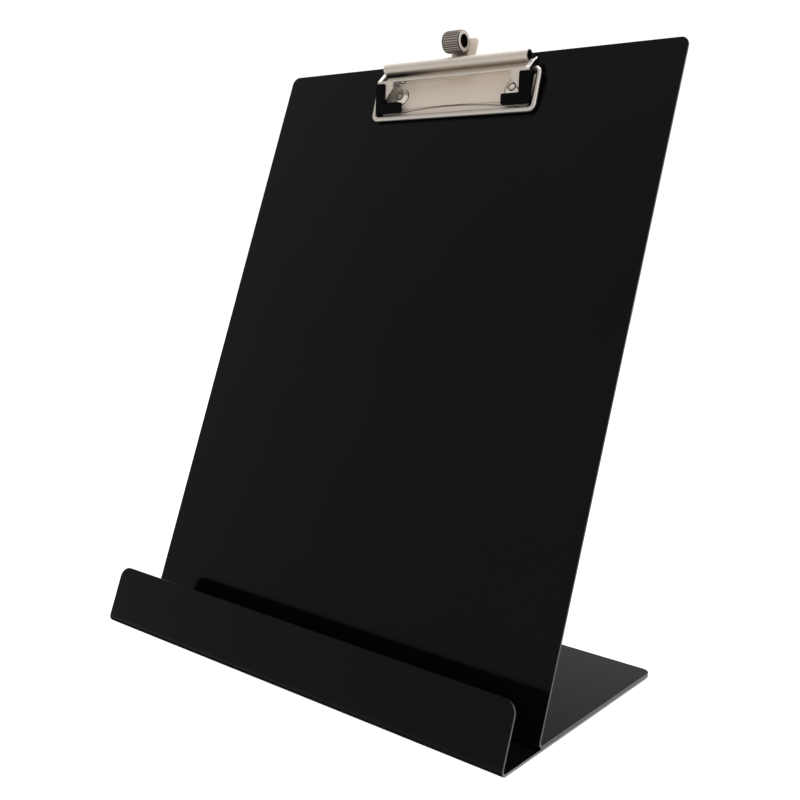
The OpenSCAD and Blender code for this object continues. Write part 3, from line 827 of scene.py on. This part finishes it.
slidePin = {"drop": 6.4, "shank": 1.5, "length": 2.5, "head": 2.8, "rise": 0.4, "rim": 0.02, "roll": 0.06}
pinProfile = []
for i in range(11):
    radius = (slidePin["head"] - slidePin["roll"]) * i / 10
    pinProfile.append((radius, slidePin["length"] + domeHeight(radius, slidePin["head"], slidePin["rise"])))
for rise in (slidePin["rim"], 0):
    pinProfile.append((slidePin["head"], slidePin["length"] + rise))
pinProfile += [(slidePin["shank"], slidePin["length"]), (slidePin["shank"], 0), (0, 0)]
slideRivet = turnProfile("slideRivet", pinProfile)
placePiece(slideRivet, boardFrame @ Matrix.Translation((0, -slidePin["drop"] * mm, 0)))
smooth(slideRivet, smoothing["turned"])
finishPiece(slideRivet, "stand", "slide_rivet", "nickel", nickel)
print("rivets turned")


# bow wire: half of it drawn along its path, then mirrored

bow = {
    "wire": 1.3 * mm, "bend": 2.3 * mm, "innerEnd": 31 * mm, "hingeDrop": 10.8 * mm, "hingeRise": 3.6 * mm,
    "barDrop": 30.2 * mm, "barRise": 1.7 * mm, "barSteps": 12, "legSteps": 5, "endSteps": 4, "bendSteps": 10,
    "endInset": 0.25 * mm, "endRoll": 0.2 * mm,
}
bow["side"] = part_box("bow_wire")[1].x - bow["wire"]
bow["length"] = math.hypot(bow["barDrop"] - bow["hingeDrop"], bow["hingeRise"] - bow["barRise"])
bow["tilt"] = math.asin((bow["hingeRise"] - bow["barRise"]) / bow["length"])
hingeFrame = boardFrame @ Matrix.Translation((0, -bow["hingeDrop"], bow["hingeRise"]))


def drawOn(reach, steps=1):
    for i in range(steps):
        bpy.ops.mesh.extrude_edges_move(TRANSFORM_OT_translate={"value": Vector(reach) / steps})


def bendOn(centre):
    bpy.ops.mesh.spin(steps=bow["bendSteps"], angle=-math.pi / 2, center=centre, axis=(0, 0, 1))


def onEndRim(edge):
    endCentre = Vector((bow["innerEnd"], 0, 0))
    if abs(middle(edge).x - bow["innerEnd"]) > onLine or abs(middle(edge).y) > bow["wire"]:
        return False
    return all(abs((v.co - endCentre).length - bow["wire"]) < 2 * onLine for v in edge.verts)


clearSelection()
bpy.ops.mesh.primitive_circle_add(
    vertices=24, radius=bow["wire"], location=(0, -bow["length"], 0), rotation=(0, math.pi / 2, 0)
)
bowWire = newPiece("bowWire")
bpy.ops.object.transform_apply(location=True, rotation=True, scale=True)
startEdit(bowWire)
straight = bow["side"] - bow["bend"]
bpy.ops.mesh.select_all(action="SELECT")
drawOn((straight, 0, 0), bow["barSteps"])
bendOn((straight, -bow["length"] + bow["bend"], 0))
drawOn((0, bow["length"] - 2 * bow["bend"], 0), bow["legSteps"])
bendOn((straight, -bow["bend"], 0))
drawOn((bow["innerEnd"] - straight, 0, 0), bow["endSteps"])
bpy.ops.mesh.edge_face_add()
bpy.ops.mesh.inset(thickness=bow["endInset"])
pick(bowWire, "EDGE", onEndRim)
bpy.ops.mesh.bevel(offset=bow["endRoll"], segments=3, affect="EDGES")
stopEdit()
applyModifier(bowWire, "MIRROR", use_axis=(True, False, False), merge_threshold=onLine)
closeShell(bowWire)
placePiece(bowWire, hingeFrame @ Matrix.Rotation(bow["tilt"], 4, "X"))
smooth(bowWire, smoothing["wire"])
finishPiece(bowWire, "lever", "bow_wire", "nickel", wireNickel)
print("bow wire bent")


# torsion springs: a wire ring turned along the hinge, then both legs drawn out

coil = {
    "wire": 0.3 * mm, "radius": 2.0 * mm, "length": 7.475 * mm, "sweep": math.radians(2368), "steps": 230,
    "leg": 5.0 * mm, "legTurn": math.radians(28), "endInset": 0.08 * mm,
}
coil["outerEnd"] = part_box("spring_right")[1].x - coil["wire"]
halfWay = coil["outerEnd"] - coil["length"] / 2
coilLegs = (
    (lambda e: e.is_boundary and middle(e).x > halfWay, (0, coil["leg"], 0)),
    (lambda e: e.is_boundary and middle(e).x < halfWay,
     (0, coil["leg"] * math.cos(coil["legTurn"]), -coil["leg"] * math.sin(coil["legTurn"]))),
)
clearSelection()
bpy.ops.mesh.primitive_circle_add(vertices=12, radius=coil["wire"], rotation=(math.pi / 2, 0, 0))
springRight = newPiece("springRight")
bpy.ops.object.transform_apply(location=True, rotation=True, scale=True)
startEdit(springRight)
bpy.ops.mesh.select_all(action="SELECT")
bpy.ops.transform.translate(value=(coil["outerEnd"], 0, -coil["radius"]))
stopEdit()
applyModifier(
    springRight, "SCREW", axis="X", angle=-coil["sweep"], screw_offset=-coil["length"], steps=coil["steps"],
    render_steps=coil["steps"], use_smooth_shade=True,
)
startEdit(springRight)
for test, reach in coilLegs:
    pick(springRight, "EDGE", test)
    drawOn(reach)
    bpy.ops.mesh.edge_face_add()
    bpy.ops.mesh.inset(thickness=coil["endInset"])
stopEdit()
closeShell(springRight)
placePiece(springRight, hingeFrame)
smooth(springRight, smoothing["wire"])
springLeft = mirrorPiece(springRight, "springLeft")
smooth(springLeft, smoothing["wire"])
for piece, node, side in ((springRight, "spring_right", 1), (springLeft, "spring_left", -1)):
    finishPiece(piece, None, node, "spring_steel", springSteel)
    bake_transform(piece)
print("springs wound")


# rubber feet: one made, three copied

footLow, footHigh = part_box("rubber_foot_rear_right")
foot = {"roll": 0.35 * mm, "rim": 1.3 * mm, "rimSlope": 0.4 * mm, "hollow": 0.25 * mm}
foot["radius"] = (footHigh.x - footLow.x) / 2
foot["height"] = footHigh.z
foot["side"] = (footHigh.x + footLow.x) / 2
foot["along"] = (footHigh.y + footLow.y) / 2


def onFootRim(edge):
    if any(v.co.z > onLine for v in edge.verts):
        return False
    reaches = [math.hypot(v.co.x - foot["side"], v.co.y - foot["along"]) for v in edge.verts]
    return all(abs(reach - foot["radius"]) < 5 * onLine for reach in reaches)


clearSelection()
bpy.ops.mesh.primitive_cylinder_add(
    vertices=56, radius=foot["radius"], depth=foot["height"],
    location=(foot["side"], foot["along"], foot["height"] / 2),
)
footRearRight = newPiece("footRearRight")
bpy.ops.object.transform_apply(location=True, rotation=True, scale=True)
startEdit(footRearRight)
pick(footRearRight, "FACE", lambda f: f.normal.z < -0.9)
bpy.ops.mesh.inset(thickness=foot["rim"])
bpy.ops.mesh.inset(thickness=foot["rimSlope"])
bpy.ops.transform.translate(value=(0, 0, foot["hollow"]))
pick(footRearRight, "EDGE", onFootRim)
bpy.ops.mesh.bevel(offset=foot["roll"], segments=4, affect="EDGES")
stopEdit()
smooth(footRearRight, smoothing["foot"])
feet = [(footRearRight, "rubber_foot_rear_right")]
for name, node, sideMove, alongMove in (
    ("footRearLeft", "rubber_foot_rear_left", -2, 0),
    ("footFrontRight", "rubber_foot_front_right", 0, -2),
    ("footFrontLeft", "rubber_foot_front_left", -2, -2),
):
    piece = copyPiece(footRearRight, name)
    placePiece(piece, Matrix.Translation((sideMove * foot["side"], alongMove * foot["along"], 0)))
    feet.append((piece, node))
for piece, node in feet:
    finishPiece(piece, "stand", node, "rubber", footRubber)
print("feet moulded")

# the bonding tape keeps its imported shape
for node in ("bond_tape_front", "bond_tape_rear"):
    frame["nodes"][node].data.materials.clear()
    frame["nodes"][node].data.materials.append(bondTape)


# floor, light and camera

clearSelection()
bpy.ops.mesh.primitive_plane_add(size=60)
floor = newPiece("studioFloor")
floor.data.materials.append(makeFloorPaint())

# the studio is brightest over and behind the stand
studio = {
    "axis": (0.15, 0.55, 0.82),
    "stops": ((0.0, 1.0), (0.5, 1.01), (0.82, 1.08), (1.0, 1.6)),
}
world = bpy.data.worlds.new("studioWorld")
scene.world = world
world.use_nodes = True
nodes = world.node_tree.nodes
links = world.node_tree.links
background = nodes["Background"]
skyPlace = nodes.new("ShaderNodeTexCoord")
skyTurn = nodes.new("ShaderNodeVectorMath")
skyTurn.operation = "DOT_PRODUCT"
skyTurn.inputs[1].default_value = Vector(studio["axis"]).normalized()
skyShare = nodes.new("ShaderNodeMapRange")
skyShare.inputs["From Min"].default_value = -1
skyRamp = nodes.new("ShaderNodeValToRGB")
fillRamp(skyRamp.color_ramp, studio["stops"])
links.new(skyPlace.outputs["Generated"], skyTurn.inputs[0])
links.new(skyTurn.outputs["Value"], skyShare.inputs["Value"])
links.new(skyShare.outputs["Result"], skyRamp.inputs["Fac"])
links.new(skyRamp.outputs["Color"], background.inputs["Color"])

lamps = [
    {"name": "topBox", "place": (0.1, 0.2, 1.3), "aim": (0, 0, 0.28), "size": 0.9, "power": 8},
    {"name": "sideBox", "place": (1.3, -0.1, 0.7), "aim": (0, 0, 0.15), "size": 0.8, "power": 4},
]
for lamp in lamps:
    clearSelection()
    bpy.ops.object.light_add(type="AREA", location=lamp["place"])
    light = bpy.context.object
    light.name = lamp["name"]
    light.data.size = lamp["size"]
    light.data.energy = lamp["power"]
    light.rotation_euler = (Vector(lamp["aim"]) - Vector(lamp["place"])).to_track_quat("-Z", "Y").to_euler()

view = {
    "place": (0.27357, -0.36717, 0.17107), "yaw": -0.63179, "pitch": -0.10033, "roll": 0.07231,
    "lens": 43.117, "sensor": 36, "near": 0.01, "far": 200,
}
clearSelection()
bpy.ops.object.camera_add(location=view["place"])
camera = bpy.context.object
camera.name = "photoCamera"
ahead = Vector((
    math.sin(view["yaw"]) * math.cos(view["pitch"]),
    math.cos(view["yaw"]) * math.cos(view["pitch"]),
    math.sin(view["pitch"]),
))
across = ahead.cross(Vector((0, 0, 1))).normalized()
overhead = across.cross(ahead)
turned = across * math.cos(view["roll"]) + overhead * math.sin(view["roll"])
upright = -across * math.sin(view["roll"]) + overhead * math.cos(view["roll"])
cameraTurn = Matrix((turned, upright, -ahead)).transposed().to_4x4()
camera.matrix_world = Matrix.Translation(view["place"]) @ cameraTurn
camera.data.sensor_width = view["sensor"]
camera.data.lens = view["lens"]
camera.data.clip_start = view["near"]
camera.data.clip_end = view["far"]
scene.camera = camera
scene.view_settings.view_transform = "Standard"
print("floor, light and camera set")
